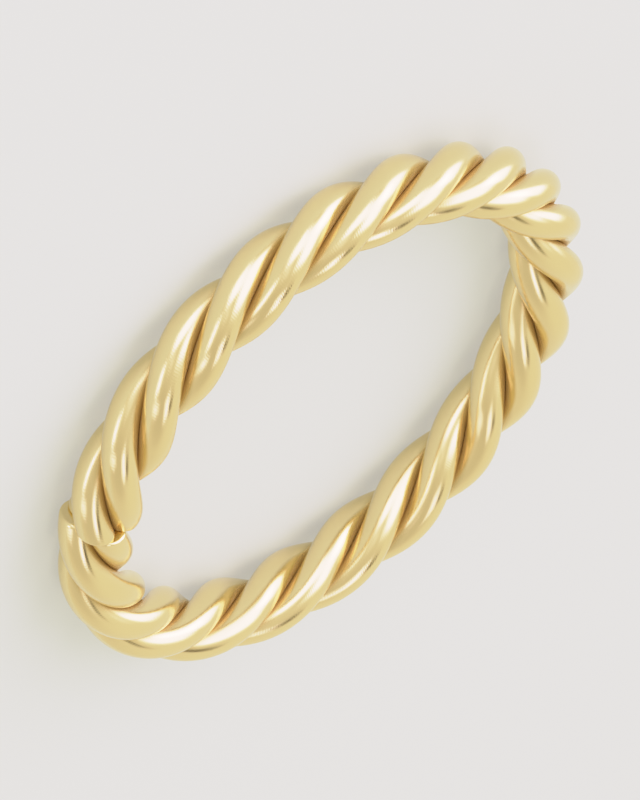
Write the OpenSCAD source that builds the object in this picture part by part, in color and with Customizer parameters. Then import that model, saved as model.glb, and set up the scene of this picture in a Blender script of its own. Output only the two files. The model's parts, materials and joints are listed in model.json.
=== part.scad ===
// Rope twist ring: three round gold wires twisted left-handed into a rope, and the rope bent into a ring.
// The ring lies on its side. The finger goes along +Z, z = 0 is the surface that it rests on,
// and the soldered joint of the rope is at +X. Ring angles run from the joint, anticlockwise from above.

/* [Ring] */
// Inside diameter, across the wires where they stand furthest in
inside_d = 16.5; // [14:0.1:22]
// Diameter over the wires of the twisted rope
rope_d = 2.54; // [2.5:0.01:2.6]

/* [Wires] */
// Diameter of each of the three wires
wire_d = 1.19; // [1.14:0.01:1.2]
// Turns that the wires make round each other in one lap of the ring
twist_turns = 6.9; // [6.85:0.01:7.15]
// Clear gap between the flats that neighbouring wires press on each other
wire_gap = 0.05; // [0.03:0.01:0.08]

/* [Joint] */
// Angle round the rope, from its outer side, at which the first wire leaves the joint
joint_phase = 73; // [0:1:120]
// How far the two ends of the rope are out of line along the finger
joint_step = 0.16; // [0:0.01:0.2]
// Gap between the two ends of the rope, which a neck of solder crosses in each wire
joint_gap = 0.05; // [0.03:0.01:0.08]

/* [Mesh] */
// Sides of a wire's section
wire_sides = 12; // [8:2:16]
// Sections of a wire in one turn of the twist
sections_per_turn = 27; // [16:1:36]

/* [Hidden] */

WIRES = 3;
TURN = 360;
RADIAN = TURN / (2 * PI);
sector = TURN / WIRES;
gold = [0.87, 0.78, 0.52];

wire_r = wire_d / 2;
lay_r = rope_d / 2 - wire_r;           // from the rope's centre to a wire's centre
ring_r = inside_d / 2 + rope_d / 2;    // from the finger's axis to the rope's centre
neck_fit = 0.75;                       // share of the room between a wire's two ends that its neck takes
lap_sections = round(twist_turns * sections_per_turn);
joint_angle = joint_gap / ring_r * RADIAN;

// A station is one place along the rope: [ring angle, angle of twist, height of the rope's centre]
stations = [
    for (i = [0 : lap_sections])
        let (part = i / lap_sections)
        [
            joint_angle / 2 + part * (TURN - joint_angle),
            part * twist_turns * TURN,
            (part - 0.5) * joint_step
        ]
];
joint_ends = [stations[lap_sections], stations[0]];

function start_phase(wire) = joint_phase + wire * sector;

function turned(p, angle) =
    [p[0] * cos(angle) - p[1] * sin(angle), p[0] * sin(angle) + p[1] * cos(angle)];

// A point of the rope's section, given outwards and upwards from the rope's centre, as a point in space
function in_space(p, ring_angle) =
    [(ring_r + p[0]) * cos(ring_angle), (ring_r + p[0]) * sin(ring_angle), p[1]];

// Tangent of the wire's lay angle to the rope's own line
function lay_slope(phase) = lay_r * twist_turns / (ring_r + lay_r * cos(phase));

// A point of a slanting round wire where the rope is cut square, with the wire's centre on the first axis
function cut_point(side_angle, slope) =
    let (
        stretch = sqrt(1 + slope * slope),
        lead = slope * slope * wire_r * sin(side_angle) / (lay_r * stretch) * RADIAN
    )
    turned([lay_r + wire_r * cos(side_angle), wire_r * sin(side_angle) / stretch], lead);

// The wire's third of the rope ends at flats: a point beyond one is pressed back on to it
function pressed(p) =
    let (
        side = p[1] < 0 ? -1 : 1,
        excess = wire_gap / 2 - p[0] * sin(sector / 2) + side * p[1] * cos(sector / 2)
    )
    excess > 0 ? p + excess * [sin(sector / 2), -side * cos(sector / 2)] : p;

function wire_section(wire, station) =
    let (
        phase = start_phase(wire) + station[1],
        slope = lay_slope(phase)
    )
    [
        for (side = [0 : wire_sides - 1])
            let (p = turned(pressed(cut_point(side * TURN / wire_sides, slope)), phase))
            in_space(p + [0, station[2]], station[0])
    ];

// Centre of a wire's section, from the rope's centre at half the step
function wire_centre(wire, station) =
    turned([lay_r, 0], start_phase(wire) + station[1]) + [0, station[2]];

// The neck of solder is round, midway between the wire's two ends, and inside both of them
function neck_section(wire, station) =
    let (
        ends = [for (end = joint_ends) wire_centre(wire, end)],
        middle = (ends[0] + ends[1]) / 2,
        neck_r = neck_fit * (wire_r - norm(ends[0] - ends[1]) / 2)
    )
    [
        for (side = [0 : wire_sides - 1])
            let (angle = start_phase(wire) + station[1] + side * TURN / wire_sides)
            in_space(middle + neck_r * [cos(angle), sin(angle)], station[0])
    ];

function wire_sections(wire) =
    concat(
        [for (station = stations) wire_section(wire, station)],
        [for (end = joint_ends) neck_section(wire, end)]
    );

// The lowest wire touches the surface
low_z = min([for (wire = [0 : WIRES - 1]) for (section = wire_sections(wire)) for (p = section) p[2]]);

// Each side of a section is joined to the next section by two triangles. Their diagonal changes hands
// half way round, so that the flats of two neighbours are split alike and stay parallel.
function skin(sections) =
    [
        for (i = [0 : sections - 1], side = [0 : wire_sides - 1])
            let (
                here = i * wire_sides,
                ahead = ((i + 1) % sections) * wire_sides,
                next = (side + 1) % wire_sides,
                a = here + side,
                b = here + next,
                c = ahead + next,
                d = ahead + side
            )
            each side < wire_sides / 2 ? [[a, b, c], [a, c, d]] : [[a, b, d], [b, c, d]]
    ];

module rope_wire(wire) {
    sections = wire_sections(wire);
    translate([0, 0, -low_z])
        polyhedron(points = [for (section = sections) each section], faces = skin(len(sections)), convexity = 8);
}

module wire_a() {
    color(gold) rope_wire(0);
}

module wire_b() {
    color(gold) rope_wire(1);
}

module wire_c() {
    color(gold) rope_wire(2);
}

wire_a();
wire_b();
wire_c();
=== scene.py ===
# %% [markdown]
# # A rope twist ring in polished gold
#
# A rope twist ring is three round gold wires, twisted left-handed into a rope. The rope is bent
# into one lap and its two ends are soldered together. Here it lies on its side on a pale table.
#
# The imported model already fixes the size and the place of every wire, so the lesson starts by
# loading it as a frame. Everything that is made later is in metres and in the same place, and
# nothing has to be fitted afterwards. The box of the whole model is kept, to compare at the end.

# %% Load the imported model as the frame
import json
import math

import bpy
from mathutils import Matrix, Vector


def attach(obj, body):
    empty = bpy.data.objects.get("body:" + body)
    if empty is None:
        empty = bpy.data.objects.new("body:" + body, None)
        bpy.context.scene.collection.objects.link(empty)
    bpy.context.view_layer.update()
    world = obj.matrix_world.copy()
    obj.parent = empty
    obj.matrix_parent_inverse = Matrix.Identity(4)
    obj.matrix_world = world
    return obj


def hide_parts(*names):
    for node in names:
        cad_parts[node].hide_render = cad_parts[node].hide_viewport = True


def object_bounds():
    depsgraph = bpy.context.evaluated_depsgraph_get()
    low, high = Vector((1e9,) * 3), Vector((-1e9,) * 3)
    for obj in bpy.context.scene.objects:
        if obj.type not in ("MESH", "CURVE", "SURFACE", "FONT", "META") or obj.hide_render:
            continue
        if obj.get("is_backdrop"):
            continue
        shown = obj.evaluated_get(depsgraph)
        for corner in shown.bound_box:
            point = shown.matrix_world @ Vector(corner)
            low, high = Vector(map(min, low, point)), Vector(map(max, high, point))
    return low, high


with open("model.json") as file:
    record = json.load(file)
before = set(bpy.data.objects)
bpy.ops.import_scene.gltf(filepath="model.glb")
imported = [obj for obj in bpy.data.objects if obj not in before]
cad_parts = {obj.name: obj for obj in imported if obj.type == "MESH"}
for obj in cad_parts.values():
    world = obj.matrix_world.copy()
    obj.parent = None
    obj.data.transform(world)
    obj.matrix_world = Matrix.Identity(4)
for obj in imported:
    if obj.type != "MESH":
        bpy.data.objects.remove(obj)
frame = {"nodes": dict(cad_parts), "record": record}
cad_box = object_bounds()

print("wires in the frame:", sorted(frame["nodes"]))

# %% [markdown]
# ## The sizes that drive the rope
#
# A rope needs few numbers: how wide the ring is inside, how thick the rope and its wires are, and
# how often the wires turn round each other in one lap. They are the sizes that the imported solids
# were made with, and the rest follows from them.
#
# The number of turns isn't whole. The rope's two ends therefore meet out of step, and slightly
# out of line, which is why the joint of such a ring can be seen.

# %% Sizes of the rope
MM = 0.001

INSIDE_D = 16.5 * MM          # across the finger hole, wire to wire
ROPE_D = 2.54 * MM            # over the wires of the rope
WIRE_D = 1.19 * MM
TWIST_TURNS = 6.9             # turns of the rope in one lap
JOINT_PHASE = math.radians(73)  # from the rope's outer side round to the first wire at the joint
JOINT_STEP = 0.16 * MM        # how far the rope's two ends are out of line
JOINT_SLIT = 0.01 * MM        # the line of solder between the two ends
WIRE_SLIT = 0.01 * MM         # what is left between the flats of two wires
END_ROUND = 0.10 * MM         # how much the file rounds the edge of a cut end

wire_r = WIRE_D / 2
lay_r = ROPE_D / 2 - wire_r               # from the rope's centre to a wire's centre
ring_r = INSIDE_D / 2 + ROPE_D / 2        # from the finger's axis to the rope's centre
hole = next(mount for mount in frame["record"]["mounts"] if mount["name"] == "finger_hole")
ring_centre = Vector(hole["pos_m"])       # the ring's middle, half its height above the table

print(f"rope {ROPE_D / MM:.2f} mm thick, bent to a radius of {ring_r / MM:.2f} mm")
print(f"its middle is {ring_centre.z / MM:.3f} mm above the table")

# %% [markdown]
# ## Writing node trees as sums
#
# The shape of the wires and the finish of the gold are both sums worked out by nodes. Dragging a
# hundred Math nodes into place is slow and hard to read, so a small class wraps a node's output
# and lets Python's own signs add the nodes: `1 - mask` makes one Subtract node.

# %% A node's output that can be used in sums
class Signal:
    """One output of a node. A sum written with it adds the Math nodes that work it out."""

    def __init__(self, socket):
        self.socket = socket

    def out(self, name):
        """Another output of the same node."""
        return Signal(self.socket.node.outputs[name])

    def __add__(self, other):
        return worked("ADD", self, other)

    def __radd__(self, other):
        return worked("ADD", other, self)

    def __sub__(self, other):
        return worked("SUBTRACT", self, other)

    def __rsub__(self, other):
        return worked("SUBTRACT", other, self)

    def __mul__(self, other):
        return worked("MULTIPLY", self, other)

    def __rmul__(self, other):
        return worked("MULTIPLY", other, self)

    def __truediv__(self, other):
        return worked("DIVIDE", self, other)

    def __rtruediv__(self, other):
        return worked("DIVIDE", other, self)

    def __gt__(self, other):
        return worked("GREATER_THAN", self, other)


print("a Signal adds Math nodes for + - * / and >")

# %% [markdown]
# ## A bench for nodes
#
# A node always needs the same four steps: it is made, its settings are chosen, its sockets are
# filled or linked, and its output is handed on. Written out each time, they would hide what the
# tree is for. So one method does all four for every kind of node. Settings come before values,
# because a setting such as a Mix node's data type changes which sockets are in use.

# %% The bench that nodes are added on
class Bench:
    """A node tree that nodes are added to."""

    def __init__(self, tree):
        self.tree = tree

    def add(self, kind, settings=None, values=None):
        """Adds a node, sets it up, fills or links its sockets, and returns its first output in use."""
        node = self.tree.nodes.new(kind)
        for name, value in (settings or {}).items():
            setattr(node, name, value)
        for key, value in (values or {}).items():
            if isinstance(value, Signal):
                self.tree.links.new(value.socket, node.inputs[key])
            else:
                node.inputs[key].default_value = value
        return Signal(next((s for s in node.outputs if s.enabled), None))

    def link(self, signal, node, name):
        """Feeds a signal to a named socket of a node that is already there."""
        self.tree.links.new(signal.socket, node.inputs[name])


print("a Bench adds nodes to a tree")

# %% [markdown]
# ## Sums that are used again and again
#
# Three sums come up in many places: any Math node by its operation's name, a value that is held
# between 0 and 1, and a point that is turned about the origin. As functions they can be used in
# the middle of other sums. A short trial shows that a sum really turns into nodes.

# %% Sums as functions
def worked(operation, *values):
    """A Math node on signals and numbers, of which at least one is a signal."""
    tree = next(value.socket.id_data for value in values if isinstance(value, Signal))
    return Bench(tree).add("ShaderNodeMath", {"operation": operation}, dict(enumerate(values)))


def held(value):
    """A value held between 0 and 1."""
    return worked("MINIMUM", worked("MAXIMUM", value, 0.0), 1.0)


def turned(x, y, angle):
    """A point of a plane, turned about the origin."""
    across, along = worked("COSINE", angle), worked("SINE", angle)
    return x * across - y * along, x * along + y * across


trial_tree = bpy.data.node_groups.new("trial", "GeometryNodeTree")
trial = Bench(trial_tree).add("ShaderNodeValue")
trial = held(1 - trial * trial)
print(f"held(1 - x * x) took {len(trial_tree.nodes)} nodes")
bpy.data.node_groups.remove(trial_tree)

# %% [markdown]
# ## One wire of the rope
#
# A wire of a rope could be a curve with a round bevel, but then its ends would be cut square to
# the wire, and the flats where two wires press on each other would be missing. It could also be
# extruded section by section in Python. Geometry Nodes do the same with one rule for all points:
# a flat grid, whose rows are the sections of the wire and whose columns run along it, is moved to
# the place that the rule gives. The grid's four sides then meet and are merged, which makes a
# closed tube.
#
# The number of points round the wire matters most. A mirror shows every facet, because a
# reflection turns twice as fast as the surface. With 64 points the edges of the highlights come
# out as saw teeth, and with 120 they are smooth.

# %% The grid of a wire
SIDES = 120            # points round a wire
TURN_SECTIONS = 100    # sections in one turn of the rope
EDGE_ROWS = 8          # rows in the rounding of a cut end
NECK_ROWS = 2          # the two ends of the solder neck

sections = round(TURN_SECTIONS * TWIST_TURNS)
last_row = sections + 2 * EDGE_ROWS          # the last row of the wire itself
rows = last_row + 1 + NECK_ROWS

print(f"a wire is a grid of {rows} rows with {SIDES} points each")

# %% [markdown]
# ## The rows of the joint
#
# Most rows are plain sections, the same distance apart. The first and the last few make the cut
# ends of the rope: a jeweller saws them square, files the edges round and solders them together.
# So these rows follow a quarter circle, nearer to each other and further inwards, and the last
# two make the neck of solder that crosses the slit to the wire's other end.
#
# Where a row lies on the quarter circle is worked out with a value that is held between 0 and 1.
# It is 0 for all the plain rows, so one sum serves them all and no row is picked out by hand.

# %% What each row stands for
HALF_ROW = 0.5         # a test between two whole rows isn't upset by rounding


def wire_row(row, size):
    """A row's distance along the rope, how far its edge is inset, and whether it is the neck's."""
    near = held(1 - row / EDGE_ROWS) * (math.pi / 2)
    far = held((row - (EDGE_ROWS + sections)) / EDGE_ROWS) * (math.pi / 2)
    body = held((row - EDGE_ROWS) / sections)
    lap = size["Ring radius"] * math.tau - size["Joint slit"]
    rounded = size["End round"]
    distance = (
        rounded * (1 - worked("SINE", near))
        + body * (lap - 2 * rounded)
        + rounded * worked("SINE", far)
    )
    inset = rounded * (1 - worked("COSINE", near + far))
    neck = row > last_row + HALF_ROW
    near_neck = row > last_row + 1 + HALF_ROW
    return distance * (1 - near_neck), inset, neck


print(f"{EDGE_ROWS} rows round each cut end over {END_ROUND / MM:.2f} mm")

# %% [markdown]
# ## The section of a wire
#
# Where the rope is cut square, a wire isn't quite a circle, because it slants through the cut: it
# is a little wider along its way round. It also stops where its third of the rope ends. Wires
# that are twisted tight press flats on each other there, and the flats are why a rope of three
# wires is thinner than three loose wires side by side.
#
# The section is made beside the first axis, pressed on to its flats, and only then turned by the
# twist, so that the flats are the same two straight lines for every wire and every row.

# %% The wire's section
SECTOR = math.tau / 3  # each wire's share of the rope's section


def pressed(x, y, slit):
    """A point of a wire, pressed back on to the flats where the wire's third of the rope ends."""
    side = worked("SIGN", y)
    height = worked("ABSOLUTE", y)
    reach, rise = math.sin(SECTOR / 2), math.cos(SECTOR / 2)
    excess = worked("MAXIMUM", slit / 2 - x * reach + height * rise, 0.0)
    return x + excess * reach, side * (height - excess * rise)


def cut_wire(side_angle, phase, inset, size):
    """A point of the wire where the rope is cut square, from the rope's centre."""
    lay, radius = size["Lay radius"], size["Wire radius"] - inset
    slope = lay * size["Turns"] / (size["Ring radius"] + lay * worked("COSINE", phase))
    slope_squared = slope * slope
    stretch = worked("SQRT", slope_squared + 1)
    rise = radius * worked("SINE", side_angle)
    lead = slope_squared * rise / (lay * stretch)
    x, y = turned(lay + radius * worked("COSINE", side_angle), rise / stretch, lead)
    x, y = pressed(x, y, size["Wire slit"] + 2 * inset)
    return turned(x, y, phase)


flat = lay_r * math.sin(SECTOR / 2)
print(f"a wire of {wire_r / MM:.3f} mm radius has its flats {flat / MM:.3f} mm from its centre")

# %% [markdown]
# ## The neck of solder
#
# The twist doesn't come out even, so the two ends of a wire don't meet squarely: they overlap
# like two coins that are pushed a little apart. Solder crosses the slit where they overlap, and
# joins them into one piece. It can't be seen, so a round neck in the middle of the overlap is
# enough. Its radius follows from how far the two ends are apart.

# %% The neck of solder
NECK_FIT = 0.75        # share of the room between a wire's two ends that its neck takes


def neck_point(side_angle, phase, size):
    """A point of the solder neck, which is round and midway between the wire's two ends."""
    end_phase = size["Start phase"] + size["Turns"] * math.tau
    near_x, near_y = turned(size["Lay radius"], 0.0, size["Start phase"])
    far_x, far_y = turned(size["Lay radius"], 0.0, end_phase)
    step_y = far_y - near_y + size["Joint step"]
    apart = worked("SQRT", (far_x - near_x) * (far_x - near_x) + step_y * step_y)
    radius = (size["Wire radius"] - apart / 2) * NECK_FIT
    angle = phase + side_angle
    return (
        (near_x + far_x) / 2 + radius * worked("COSINE", angle),
        (near_y + far_y) / 2 + radius * worked("SINE", angle),
    )


missing_turn = round(TWIST_TURNS) - TWIST_TURNS
print(f"a wire's two ends are {math.degrees(missing_turn * math.tau):.0f} degrees of twist out of step")

# %% [markdown]
# ## From the section to the ring
#
# Now the rules come together. A row's part of the lap gives the angle of the twist there, and
# with it the point's place in the rope's section. The same part of the lap carries the point
# round the finger, and lifts it by its share of the step between the rope's two ends.
#
# The point's place on a straight wire is worked out as well: X along it, Y towards its crown, Z
# across. The finish needs it later, because polish and tarnish follow the wire and not the room.

# %% Where a point of the grid goes
def wire_place(bench, row, side_angle, size):
    """A point's place on the bent and twisted wire, and its place if the wire were straight."""
    distance, inset, neck = wire_row(row, size)
    lap = size["Ring radius"] * math.tau - size["Joint slit"]
    part = distance / lap
    phase = size["Start phase"] + part * size["Turns"] * math.tau
    wire_x, wire_y = cut_wire(side_angle, phase, inset, size)
    wire_y = wire_y + (part - 0.5) * size["Joint step"]
    neck_x, neck_y = neck_point(side_angle, phase, size)
    across = wire_x + (neck_x - wire_x) * neck
    up = wire_y + (neck_y - wire_y) * neck

    ring_angle = (distance + size["Joint slit"] / 2) / size["Ring radius"]
    x, y = turned(size["Ring radius"] + across, 0.0, ring_angle)
    place = bench.add("ShaderNodeCombineXYZ", None, {"X": x, "Y": y, "Z": up + size["Height"]})
    straight = bench.add("ShaderNodeCombineXYZ", None, {
        "X": distance,
        "Y": worked("COSINE", side_angle) * size["Wire radius"],
        "Z": worked("SINE", side_angle) * size["Wire radius"],
    })
    return place, straight


lay_angle = math.degrees(math.atan(lay_r * TWIST_TURNS / ring_r))
print(f"the wires slant by about {lay_angle:.0f} degrees to the rope")

# %% [markdown]
# ## A tree with named inputs
#
# Numbers could be written straight into the nodes, but then every wire would need a tree of its
# own. So each size is an input of the tree with a name. Whoever opens the file finds these names
# beside the modifier's values, and the three wires can share one tree.

# %% A tree with named inputs
SIZE_NAMES = (
    "Ring radius", "Lay radius", "Wire radius", "Turns", "Start phase", "Joint step",
    "Joint slit", "Wire slit", "End round", "Height",
)


def opened_tree(name, sizes):
    """A geometry node tree with an input for each named size, and its bench and inputs."""
    tree = bpy.data.node_groups.new(name, "GeometryNodeTree")
    tree.interface.new_socket(name="Geometry", in_out="OUTPUT", socket_type="NodeSocketGeometry")
    for size in sizes:
        tree.interface.new_socket(name=size, in_out="INPUT", socket_type="NodeSocketFloat")
    tree.interface.new_socket(name="Material", in_out="INPUT", socket_type="NodeSocketMaterial")
    entry = tree.nodes.new("NodeGroupInput")
    return Bench(tree), {socket.name: Signal(socket) for socket in entry.outputs if socket.name}


print(f"the tree takes {len(SIZE_NAMES)} sizes and a material")

# %% [markdown]
# ## The tree that moves the grid
#
# The tree reads each point's row and its angle round the wire from where it lies on the flat
# grid. It stores the place on the straight wire as an attribute, which stays with the mesh, and
# then moves the point. The last row and the last column have landed on the first ones, so merging
# closes the tube. Last it shades the surface smooth, except where the cut ends meet the neck.

# %% The node tree of a wire
GRID_MIDDLE = 0.5                 # the flat grid is 1 by 1 and has its middle at the origin
SHARP_ANGLE = math.radians(40)    # edges that bend more than this stay sharp
MERGE_DISTANCE = 0.0001 * MM      # only points that lie on each other


def rope_wire_tree():
    """The tree that makes one wire of the rope from its sizes."""
    bench, size = opened_tree("rope_wire", SIZE_NAMES)
    grid = bench.add("GeometryNodeMeshGrid", None, {
        "Size X": 1.0, "Size Y": 1.0, "Vertices X": rows + 1, "Vertices Y": SIDES + 1,
    })
    spot = bench.add("ShaderNodeSeparateXYZ", None, {"Vector": bench.add("GeometryNodeInputPosition")})
    row = worked("MODULO", worked("ROUND", (spot + GRID_MIDDLE) * rows), rows)
    place, straight = wire_place(bench, row, spot.out("Y") * math.tau, size)
    marked = bench.add(
        "GeometryNodeStoreNamedAttribute", {"data_type": "FLOAT_VECTOR", "domain": "POINT"},
        {"Geometry": grid, "Name": "straight_wire", "Value": straight},
    )
    moved = bench.add("GeometryNodeSetPosition", None, {"Geometry": marked, "Position": place})
    closed = bench.add("GeometryNodeMergeByDistance", None, {"Geometry": moved, "Distance": MERGE_DISTANCE})
    bend = bench.add("GeometryNodeInputMeshEdgeAngle")
    smooth = bench.add("GeometryNodeSetShadeSmooth", {"domain": "EDGE"}, {
        "Geometry": closed, "Shade Smooth": worked("LESS_THAN", bend, SHARP_ANGLE),
    })
    real = bench.add("GeometryNodeRealizeInstances", None, {"Geometry": smooth})
    finished = bench.add("GeometryNodeSetMaterial", None, {"Geometry": real, "Material": size["Material"]})
    bench.add("NodeGroupOutput", None, {"Geometry": finished})
    return bench.tree


wire_tree = rope_wire_tree()
print(f"the wire's tree has {len(wire_tree.nodes)} nodes")

# %% [markdown]
# ## The finish of the gold
#
# Polished gold has no colour of its own that light passes through: it is a metal, and what is
# seen in it is the room, tinted yellow. One bounce gives pale yellow. In the grooves light goes
# from wire to wire several times and takes the tint each time, so they turn brown.
#
# A polishing wheel rides on the crowns of the wires and can't reach between them, so there the drawn
# skin of the wire stays rougher. Down in the grooves the colour is painted browner, and darker brown
# at the very bottom, as painted shade. The masks also lower Metallic there, so that this painted
# shade scatters light and stays soft and brown where bare metal would be black.
#
# The masks need the place round the wire, and they get it from the place on the straight wire
# that the tree stored: its Y, as a share of the wire's radius, falls from 1 at the crown to -1.

# %% Colours and zones of the gold
GOLD = (0.85, 0.69, 0.385, 1.0)
# Painted shade: the grooves are painted browner, and darker brown at the bottom, to stand for the shade
# there
PAINTED_GROOVE_SHADE = (0.50, 0.34, 0.12, 1.0)
PAINTED_DEEP_SHADE = (0.38, 0.16, 0.02, 1.0)
PAINTED_SHADE_COVER = 0.75          # share of the metal that full painted groove shade hides
NONMETAL_SHINE = 0.2           # gloss of the non-metal part, where the groove shade is painted


def round_from_crown(degrees):
    """The straight wire's Y, as a share of its radius, at an angle round from the crown."""
    return math.cos(math.radians(degrees))


POLISH_END = round_from_crown(74)       # how far the wheel reaches
DULL_START = round_from_crown(84)       # where lowered Metallic starts to add painted shade
GROOVE_END = round_from_crown(116)      # where the painted groove shade is full
DEEP_SHADE_START = round_from_crown(106)      # the bottom of the groove, painted darker brown as shade
DEEP_SHADE_END = round_from_crown(140)
POLISH_ROUGHNESS = 0.15
GROOVE_ROUGHNESS = 0.32


# What this prints as dirt is painted shade at the bottom of the grooves
print(f"polish down to {POLISH_END:.2f} and dirt from {DEEP_SHADE_START:.2f} of the wire's radius")

# %% [markdown]
# ## Polish, painted groove shade and clouds
#
# Three masks start one after another on the way down into a groove: where the polish ends, where
# lowered Metallic starts to add painted shade, and where the bottom is painted darker brown as
# shade. Each is one smooth step of the same height, so the painted shade has no hard edge.
#
# No polish is quite even. Faint clouds of duller metal, about a millimetre wide, come from the
# wheel's pressure and from fingers. They are noise at the place on the straight wire, so they
# turn with the twist, and they also break up the painted groove shade.

# %% Polish and painted groove shade
CLOUD_SIZE = 0.9 * MM
CLOUD_DETAIL = 3.0
CLOUD_DEPTH = 0.5             # how unevenly the painted groove shade lies
CLOUD_ROUGHNESS = 0.04        # from the brightest polish to the dullest


def smooth_step(bench, value, start, end):
    """A signal that rises smoothly from 0 to 1 while the value goes from start to end."""
    return bench.add("ShaderNodeMapRange", {"interpolation_type": "SMOOTHSTEP"}, {
        "Value": value, "From Min": start, "From Max": end, "To Min": 0.0, "To Max": 1.0,
    })


def paint_groove_shade(bench, shader, place):
    """Paints shade into the grooves as browner, darker colour and lower Metallic, makes them rougher, and
    returns the grooves' mask.
    """
    straight = bench.add("ShaderNodeSeparateXYZ", None, {"Vector": place})
    height = straight.out("Y") / wire_r
    groove = smooth_step(bench, height, POLISH_END, GROOVE_END)
    diffuse_shade = smooth_step(bench, height, DULL_START, GROOVE_END)
    deep = smooth_step(bench, height, DEEP_SHADE_START, DEEP_SHADE_END)
    clouds = bench.add("ShaderNodeTexNoise", None, {
        "Vector": place, "Scale": 1 / CLOUD_SIZE, "Detail": CLOUD_DETAIL,
    })

    # Painted shade: the colour is painted browner down into the grooves, and darker brown at the bottom
    painted_shade = held(groove * (1 - CLOUD_DEPTH / 2 + CLOUD_DEPTH * clouds))
    colour = bench.add("ShaderNodeMix", {"data_type": "RGBA"}, {"Factor": painted_shade, "A": GOLD, "B": PAINTED_GROOVE_SHADE})
    colour = bench.add("ShaderNodeMix", {"data_type": "RGBA"}, {"Factor": deep, "A": colour, "B": PAINTED_DEEP_SHADE})
    bench.link(colour, shader, "Base Color")
    # Metallic is lowered where the groove shade is painted, so that it scatters light
    bench.link(1 - diffuse_shade * PAINTED_SHADE_COVER, shader, "Metallic")
    shader.inputs["Specular IOR Level"].default_value = NONMETAL_SHINE
    even = POLISH_ROUGHNESS - CLOUD_ROUGHNESS / 2 + CLOUD_ROUGHNESS * clouds
    rough = even + groove * (GROOVE_ROUGHNESS - POLISH_ROUGHNESS)
    bench.link(rough, shader, "Roughness")
    return groove


print(f"roughness {POLISH_ROUGHNESS} on the crowns and {GROOVE_ROUGHNESS} in the grooves")

# %% [markdown]
# ## Lines from the drawing plate
#
# The wire was drawn through a steel plate before it was twisted, and the plate left fine lines
# that run along it. The wheel has polished them off the crowns, so they are only left in the
# grooves, and the grooves' mask gives their height. With lines on the crowns too, the smooth
# edges of the highlights would turn into combs.
#
# The lines are noise on a stretched place: 4 mm along the wire count as much as 0.045 mm across
# it. They only feed a Bump node, as they are far too shallow to change the outline.

# %% Lines along the wire
LINE_WIDTH = 0.045 * MM
LINE_LENGTH = 4.0 * MM
LINE_DETAIL = 2.0
LINE_HEIGHT = 0.0004 * MM


def draw_lines(bench, shader, place, groove):
    """Roughens the grooves with fine lines that run along the wire."""
    along = bench.add("ShaderNodeVectorMath", {"operation": "MULTIPLY"}, {
        0: place, 1: (1 / LINE_LENGTH, 1 / LINE_WIDTH, 1 / LINE_WIDTH),
    })
    lines = bench.add("ShaderNodeTexNoise", None, {"Vector": along, "Scale": 1.0, "Detail": LINE_DETAIL})
    relief = bench.add("ShaderNodeBump", None, {"Distance": LINE_HEIGHT, "Height": lines * groove})
    bench.link(relief, shader, "Normal")


print(f"the lines are {LINE_HEIGHT / MM:.4f} mm deep")

# %% [markdown]
# ## One gold for all three wires
#
# The three wires are one kind of drawn wire and were polished together, so they share a material.
# All three carry the same noise. That can't be noticed, because at any place of the ring each
# wire shows another of its sides. An Attribute node reads the place on the straight wire that the
# wire's tree stored.

# %% The gold
def polished_gold():
    """Polished yellow gold, rougher in the grooves, with brown shade painted into them."""
    material = bpy.data.materials.new("polished_gold")
    material.use_nodes = True
    bench = Bench(material.node_tree)
    shader = next(node for node in material.node_tree.nodes if node.type == "BSDF_PRINCIPLED")
    place = bench.add("ShaderNodeAttribute", {"attribute_name": "straight_wire"}).out("Vector")
    # Paints shade into the grooves
    groove = paint_groove_shade(bench, shader, place)
    draw_lines(bench, shader, place, groove)
    return material


gold = polished_gold()
print(f"the gold's tree has {len(gold.node_tree.nodes)} nodes")

# %% [markdown]
# ## The three wires
#
# All three wires are the same tree with one size changed: the angle at which the wire leaves the
# joint, a third of a turn further on for each. Linked copies of one wire wouldn't do, because the
# rope is bent and doesn't turn a whole number of times, so no two wires have the same shape.
#
# Each modifier is given its sizes, its result is kept as a plain mesh, and the modifier is
# removed. The meshes then hold the finished shape, which is what gets handed over.

# %% The three wires
def rope_wire(name, start_phase):
    """One wire of the rope as a plain mesh."""
    piece = bpy.data.objects.new(name, bpy.data.meshes.new(name))
    bpy.context.scene.collection.objects.link(piece)
    modifier = piece.modifiers.new("rope_wire", "NODES")
    modifier.node_group = wire_tree
    sizes = {
        "Ring radius": ring_r, "Lay radius": lay_r, "Wire radius": wire_r, "Turns": TWIST_TURNS,
        "Start phase": start_phase, "Joint step": JOINT_STEP, "Joint slit": JOINT_SLIT,
        "Wire slit": WIRE_SLIT, "End round": END_ROUND, "Height": ring_centre.z, "Material": gold,
    }
    for socket in wire_tree.interface.items_tree:
        if socket.in_out == "INPUT":
            modifier[socket.identifier] = sizes[socket.name]
    seen = bpy.context.evaluated_depsgraph_get()
    mesh = bpy.data.meshes.new_from_object(piece.evaluated_get(seen), depsgraph=seen)
    piece.modifiers.remove(modifier)
    piece.data = mesh
    return piece


wires = {}
for count, node in enumerate(("wire_a", "wire_b", "wire_c")):
    wires[node] = rope_wire("gold_" + node, JOINT_PHASE + count * SECTOR)
    mesh = wires[node].data
    print(f"{node}: {len(mesh.vertices)} points, {len(mesh.polygons)} faces")

# %% [markdown]
# ## A table that is lit from below as well
#
# Small jewellery is photographed on a sheet of white glass with a lamp under it, which takes the
# hardness out of the shadows and lights the undersides of the wires. Here that glass is a flat
# disc with a little emission of its own. It is large enough to fill the view from every side.
#
# Its colour is a little green, because the lamps are a little violet: the two cancel out, and the
# table looks white.

# %% The table
TABLE_RADIUS = 3.0
TABLE_CORNERS = 96
TABLE_COLOUR = (0.44, 0.49, 0.41, 1.0)
TABLE_ROUGHNESS = 0.8
TABLE_SHINE = 0.1
TABLE_GLOW = 0.32


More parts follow.
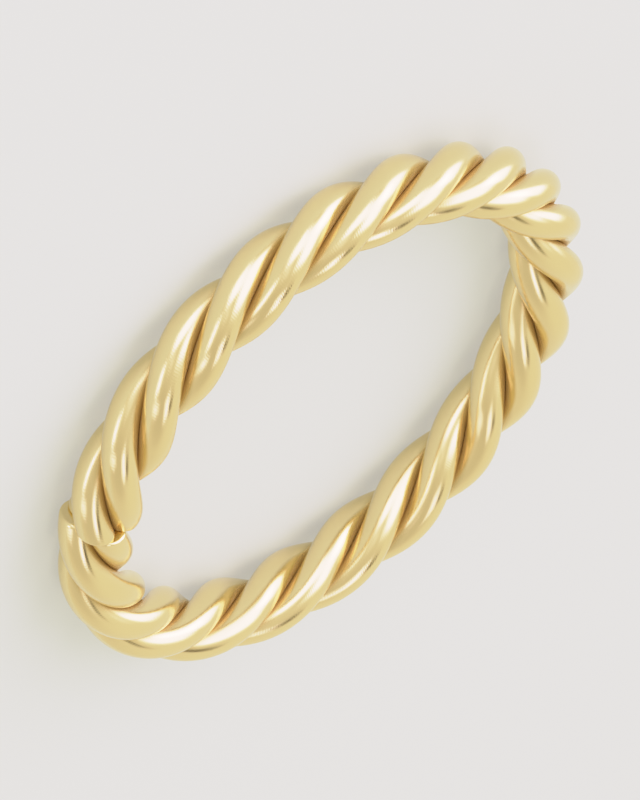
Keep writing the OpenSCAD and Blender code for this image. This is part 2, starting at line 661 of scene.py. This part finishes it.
def table_top():
    """A round pale table top, at the height that the ring rests on."""
    mesh = bpy.data.meshes.new("table_top")
    angles = [math.tau * i / TABLE_CORNERS for i in range(TABLE_CORNERS)]
    rim = [(TABLE_RADIUS * math.cos(angle), TABLE_RADIUS * math.sin(angle), 0.0) for angle in angles]
    mesh.from_pydata(rim, [], [list(range(TABLE_CORNERS))])
    table = bpy.data.objects.new("table_top", mesh)
    bpy.context.scene.collection.objects.link(table)
    material = bpy.data.materials.new("pale_table")
    material.use_nodes = True
    shader = next(node for node in material.node_tree.nodes if node.type == "BSDF_PRINCIPLED")
    shader.inputs["Base Color"].default_value = TABLE_COLOUR
    shader.inputs["Roughness"].default_value = TABLE_ROUGHNESS
    shader.inputs["Specular IOR Level"].default_value = TABLE_SHINE
    shader.inputs["Emission Color"].default_value = (1.0, 1.0, 1.0, 1.0)
    shader.inputs["Emission Strength"].default_value = TABLE_GLOW
    mesh.materials.append(material)
    return table


table = table_top()
print(f"the table is {2 * TABLE_RADIUS:.0f} m across")

# %% [markdown]
# ## The cloth of a soft box
#
# A soft box is a lamp behind white cloth. The cloth is brightest in its middle, and that gives
# the highlights on polished gold their soft edges. A Blender area lamp is even all over and would
# give hard ones. Its own nodes can change that: they read the square that the lamp's surface is,
# and fade the light towards all four sides.

# %% A light that fades to its edges
LAMP_FADE = 0.28              # share of a soft box's width that its light fades over, at each side


def fade_to_edges(lamp, colour):
    """Makes a soft box brightest in its middle, as its cloth is."""
    lamp.use_nodes = True
    bench = Bench(lamp.node_tree)
    shader = next(node for node in lamp.node_tree.nodes if node.type == "EMISSION")
    square = bench.add("ShaderNodeNewGeometry").out("Parametric")
    spot = bench.add("ShaderNodeSeparateXYZ", None, {"Vector": square})
    light = 1.0
    for axis in "XY":
        from_side = 0.5 - worked("ABSOLUTE", spot.out(axis) - 0.5)    # 0 at both sides, 0.5 midway
        light = light * smooth_step(bench, from_side, 0.0, LAMP_FADE)
    bench.link(light, shader, "Strength")
    shader.inputs["Color"].default_value = (*colour, 1.0)


print(f"the light fades over {LAMP_FADE:.0%} of a soft box at each side")

# %% [markdown]
# ## A soft box that faces the ring
#
# A polished ring is drawn by what it mirrors, so its lamps are placed like objects in a picture
# and not like sources of light. Each is given the direction in which the ring sees it, its size
# as seen from there, and its radiance, which is how bright a mirror would show it. An area
# lamp's power follows from these: its radiance times pi times its area.

# %% A soft box
LAMP_DISTANCE = 0.6


def towards(azimuth, elevation):
    """The direction from the ring at an azimuth from +X, anticlockwise from above, and an elevation."""
    a, e = math.radians(azimuth), math.radians(elevation)
    return Vector((math.cos(a) * math.cos(e), math.sin(a) * math.cos(e), math.sin(e)))


def soft_box(name, azimuth, elevation, width, height, roll, radiance, colour):
    """A rectangular lamp that faces the ring. Its radiance is what a mirror would show of its middle."""
    lamp = bpy.data.lights.new(name, "AREA")
    lamp.shape = "RECTANGLE"
    lamp.size = width * LAMP_DISTANCE
    lamp.size_y = height * LAMP_DISTANCE
    lamp.energy = radiance * math.pi * lamp.size * lamp.size_y
    fade_to_edges(lamp, colour)
    box = bpy.data.objects.new(name, lamp)
    bpy.context.scene.collection.objects.link(box)
    away = towards(azimuth, elevation)
    level = Vector((-math.sin(math.radians(azimuth)), math.cos(math.radians(azimuth)), 0.0))
    facing = Matrix((level, away.cross(level), away)).transposed().to_4x4()
    rolled = Matrix.Rotation(math.radians(roll), 4, "Z")
    box.matrix_world = Matrix.Translation(ring_centre + away * LAMP_DISTANCE) @ facing @ rolled
    return box


print(f"soft boxes stand {LAMP_DISTANCE} m from the ring")

# %% [markdown]
# ## Where the lamps stand
#
# The three windows stand side by side and make the broad highlights. The strip and the column
# make narrower ones beside them, and the side glow is weak and fills the gap between the right
# window and the strip. The top lamp lights the wires from almost straight above. All of them form
# one table, because they are tuned together, by comparing where the highlights fall.

# %% The lamps
LAMP_COLOUR = (1.0, 0.84, 1.0)

# Azimuth, elevation, width and height as shares of the distance, roll, radiance
LAMPS = {
    "window": (-131, 38, 1.22, 1.28, 6, 2.2),
    "left_window": (-158, 17, 1.04, 0.76, 0, 2.2),
    "right_window": (-84, 10, 0.98, 0.92, -22, 2.2),
    "strip": (-21, 2, 0.80, 0.50, 0, 2.4),
    "column": (8, 16, 0.28, 0.62, 0, 1.5),
    "side_glow": (-59, 25, 0.40, 0.90, 0, 0.35),
    "top": (12, 76, 0.60, 0.32, 0, 2.3),
}

for name, (azimuth, elevation, width, height, roll, radiance) in LAMPS.items():
    soft_box(name, azimuth, elevation, width, height, roll, radiance, LAMP_COLOUR)

print("lamps:", ", ".join(LAMPS))

# %% [markdown]
# ## The room round the lamps
#
# Between the highlights the gold mirrors the room, and that is most of what is seen of it. Even
# walls would make the wires look like plastic, so the room has parts: a curtain that is a little
# darker, a far wall that is lighter, and overhead the black lens of a camera. The lens is small,
# and a thin wire squeezes it into the fine dark line beside the highlights.
#
# Each part is a soft round patch of the world's light. How far a direction is from the patch's
# middle is measured by their dot product, which is the cosine of the angle between them.

# %% The room
WALL_COLOUR = (0.88, 0.84, 0.655, 1.0)
# Azimuth, elevation, how far from there a part ends and is full, and what it adds to the light
ROOM = {
    "curtain": (12, 44, 50, 12, -0.16),
    "ceiling": (70, 88, 20, 6, -0.20),
    "lens": (130, 81, 9, 4, -0.90),
    "far_wall": (155, 35, 75, 20, 0.14),
}


def studio_walls():
    """The light of the room round the lamps: cream walls, darker and lighter in some parts."""
    world = bpy.data.worlds.new("studio")
    bpy.context.scene.world = world
    world.use_nodes = True
    bench = Bench(world.node_tree)
    wall = next(node for node in world.node_tree.nodes if node.type == "BACKGROUND")
    wall.inputs["Color"].default_value = WALL_COLOUR
    direction = bench.add("ShaderNodeTexCoord").out("Generated")
    light = 1.0
    for azimuth, elevation, end, full, change in ROOM.values():
        facing = bench.add("ShaderNodeVectorMath", {"operation": "DOT_PRODUCT"}, {
            0: direction, 1: tuple(towards(azimuth, elevation)),
        }).out("Value")
        part = smooth_step(bench, facing, math.cos(math.radians(end)), math.cos(math.radians(full)))
        light = light + part * change
    bench.link(light, wall, "Strength")


studio_walls()
print("parts of the room:", ", ".join(ROOM))

# %% [markdown]
# ## The picture's tones
#
# Highlights on gold are two or three times as bright as white paper. Cut off at white they would
# be yellow patches with hard edges. Film eases them: the brighter the light, the less each bit
# more of it adds. All three colours end near white, so the yellow fades out softly.
#
# The Standard view shows colours as they are, and a curve for each channel in front of it does
# the easing. Below a half the curves are straight, so the gold between the highlights keeps its
# colour. The strongest filmic views would ease that too, and turn it to mustard.

# %% The picture's tones
# Each channel's curve: the light that reaches the film, and what the film shows of it
FILM = (
    ((0.0, 0.0), (0.5, 0.50), (0.8, 0.74), (1.2, 0.85), (2.0, 0.935), (4.0, 1.0)),
    ((0.0, 0.0), (0.5, 0.49), (0.8, 0.72), (1.2, 0.835), (2.0, 0.925), (4.0, 1.0)),
    ((0.0, 0.0), (0.5, 0.50), (0.8, 0.77), (1.2, 0.875), (2.0, 0.945), (4.0, 1.0)),
)


def soft_shoulder(view):
    """Shows colours as they are, but lets bright ones fade to white softly, as film does."""
    view.view_transform = "Standard"
    view.use_curve_mapping = True
    mapping = view.curve_mapping
    mapping.use_clip = False
    mapping.extend = "EXTRAPOLATED"
    mapping.clip_max_x = max(light for light, shown in FILM[0])
    for curve, points in zip(mapping.curves, FILM):
        curve.points[0].location = points[0]
        curve.points[-1].location = points[-1]
        for point in points[1:-1]:
            curve.points.new(*point)
    mapping.update()


soft_shoulder(bpy.context.scene.view_settings)
print(f"light from 0.5 to {FILM[0][-1][0]:.0f} is eased towards white")

# %% [markdown]
# ## The camera
#
# The ring lies on its side, and the camera looks down on it at 27 degrees, from far enough away
# that the near and the far side are almost the same size. It is rolled, as if the photographer
# had turned the picture until the ring stood on its edge. The joint is then at the lower left.

# %% The camera
CAMERA_AZIMUTH = 35.14          # degrees from -Y, anticlockwise from above
CAMERA_ELEVATION = 26.86
CAMERA_ROLL = 135.41
CAMERA_DISTANCE = 428.4 * MM
PICTURE_HEIGHT = 26.374 * MM
AIM_RIGHT = -0.092 * MM
AIM_UP = 0.133 * MM
SENSOR_SIZE = 36               # mm, the longer side of the picture


def photo_camera():
    """A camera far off that looks down on the ring, rolled about its own line of sight."""
    a, e = math.radians(CAMERA_AZIMUTH), math.radians(CAMERA_ELEVATION)
    back = Vector((math.sin(a) * math.cos(e), -math.cos(a) * math.cos(e), math.sin(e)))
    level = Vector((math.cos(a), math.sin(a), 0.0))
    rise = back.cross(level)
    roll = math.radians(CAMERA_ROLL)
    right = level * math.cos(roll) + rise * math.sin(roll)
    up = back.cross(right)
    place = ring_centre + right * AIM_RIGHT + up * AIM_UP + back * CAMERA_DISTANCE
    camera = bpy.data.objects.new("camera", bpy.data.cameras.new("camera"))
    bpy.context.scene.collection.objects.link(camera)
    camera.matrix_world = Matrix.Translation(place) @ Matrix((right, up, back)).transposed().to_4x4()
    camera.data.sensor_width = SENSOR_SIZE
    camera.data.lens = SENSOR_SIZE * CAMERA_DISTANCE / PICTURE_HEIGHT
    bpy.context.scene.camera = camera
    return camera


camera = photo_camera()
print(f"camera {CAMERA_DISTANCE:.3f} m away, lens {camera.data.lens:.0f} mm")

# %% [markdown]
# ## Handing the ring over
#
# Each wire that was made here takes the place of the plain solid of the same name, and rides on
# the ring's only body. The table is staging and isn't part of the ring. The box of what is now
# seen is compared with the one that was kept at the start: the two differ by about two
# hundredths of a millimetre, because the round wires here stand slightly further out than the
# flat-sided wires of the solids.

# %% Hand over
table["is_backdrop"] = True
for node, wire in wires.items():
    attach(wire, "root")
    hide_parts(node)

boxes = {"cad": [list(corner) for corner in cad_box], "visual": [list(corner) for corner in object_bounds()]}
for name, (low, high) in boxes.items():
    print(name, "box in mm:", [round((b - a) / MM, 3) for a, b in zip(low, high)])
